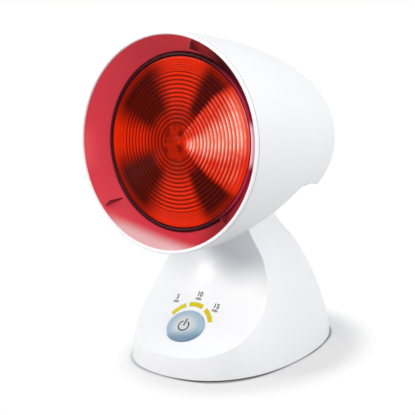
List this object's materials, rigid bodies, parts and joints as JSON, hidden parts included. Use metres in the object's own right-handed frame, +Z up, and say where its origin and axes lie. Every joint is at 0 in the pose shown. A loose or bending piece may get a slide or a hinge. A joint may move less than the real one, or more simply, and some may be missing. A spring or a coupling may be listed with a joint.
{
  "type": "infrared heat therapy lamp",
  "caption": "Table-top infrared lamp: a white tilting bell head with a red ribbed reflector bulb on a leaning base with a timer button and lit time windows.",
  "frame": {"origin": "on the table, under the middle of the lamp's overall box", "axes": "+Z up; the lamp faces -Y; +X to the right of someone who looks at its front; the tilt axle runs along X"},
  "size_m": [0.1654, 0.2006, 0.2643],
  "materials": {
    "white_housing": "moulded, satin gloss",
    "base_floor": "moulded, matt",
    "foot_rubber": "matt",
    "button_blue": "moulded, satin gloss",
    "window_yellow": "translucent, gloss",
    "red_glass": "pressed ruby glass",
    "mirror_glass": "vapour-coated aluminium on glass",
    "filament_wire": "drawn wire",
    "cap_brass": "pressed",
    "ceramic": "glazed ceramic",
    "zinc_steel": "zinc plated",
    "hinge_polymer": "acetal, matt",
    "board_green": "solder-masked laminate",
    "dark_component": "moulded, matt",
    "blue_component": "moulded",
    "led_amber": "clear epoxy"
  },
  "bodies": {
    "base": {"axle_nut": "zinc_steel", "base_plate": "base_floor", "base_screws": "zinc_steel", "base_shell": "white_housing", "board_screws": "zinc_steel", "control_board": "board_green", "cord_gland": "foot_rubber", "cradle_screws": "zinc_steel", "detent_ring": "zinc_steel", "electrolytic_capacitor": "dark_component", "film_capacitor": "blue_component", "hinge_axle": "zinc_steel", "hinge_cradle": "zinc_steel", "light_window_10": "window_yellow", "light_window_15": "window_yellow", "light_window_5": "window_yellow", "relay": "blue_component", "rubber_feet": "foot_rubber", "tact_switch": "dark_component", "terminal_block": "board_green", "thrust_washers": "hinge_polymer", "timer_chip": "dark_component", "timer_leds": "led_amber", "wave_washer": "zinc_steel"},
    "button": {"power_button": "button_blue"},
    "head": {"head_shell": "white_housing", "front_ring": "white_housing", "rear_grille": "white_housing", "hinge_tongue": "zinc_steel", "tongue_screws": "zinc_steel", "lamp_holder": "ceramic", "holder_shell": "cap_brass", "holder_contact": "cap_brass", "holder_bracket": "zinc_steel", "bracket_screws": "zinc_steel", "holder_screws": "zinc_steel", "bulb_lens": "red_glass", "bulb_reflector": "mirror_glass", "bulb_cap": "cap_brass", "filament": "filament_wire"}
  },
  "joints": [
    {"name": "head_tilt", "type": "hinge", "parent": "base", "child": "head", "pos_m": [0, 0.0022, 0.104], "axis": [-1, 0, 0], "range_deg": [-10, 30]},
    {"name": "button_press", "type": "slide", "parent": "base", "child": "button", "axis": [0, 0.6176, -0.7865], "range_m": [0, 0.0008], "stiffness_N_per_m": 1500, "springref_m": -0.0003}
  ]
}
